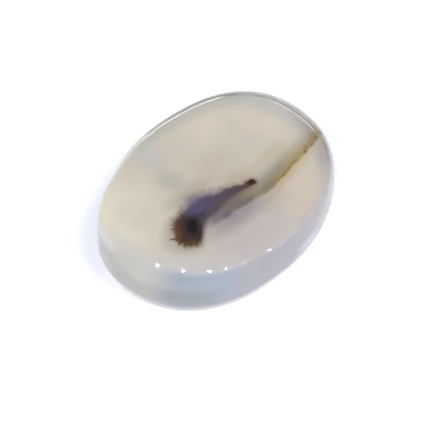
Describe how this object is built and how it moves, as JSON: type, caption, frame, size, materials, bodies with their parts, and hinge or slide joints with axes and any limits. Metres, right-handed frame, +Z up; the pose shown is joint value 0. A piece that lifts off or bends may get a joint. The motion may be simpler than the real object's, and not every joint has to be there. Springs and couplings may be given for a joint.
{
  "type": "dendritic agate specimen",
  "caption": "Polished oval stone with a flat top, rounded shoulders and a flat back; a dark branching plume and a yellow-brown vein show inside the milky chalcedony.",
  "frame": {"origin": "centre of the stone's bounding box, at the level of its flat back, which rests on a surface", "axes": "+X along the length of the oval, +Z up through the flat polished top"},
  "size_m": [0.02, 0.015, 0.0037],
  "materials": {
    "agate": "polished, milky and slightly translucent"
  },
  "bodies": {
    "root": {"agate_stone": "agate"}
  },
  "joints": []
}
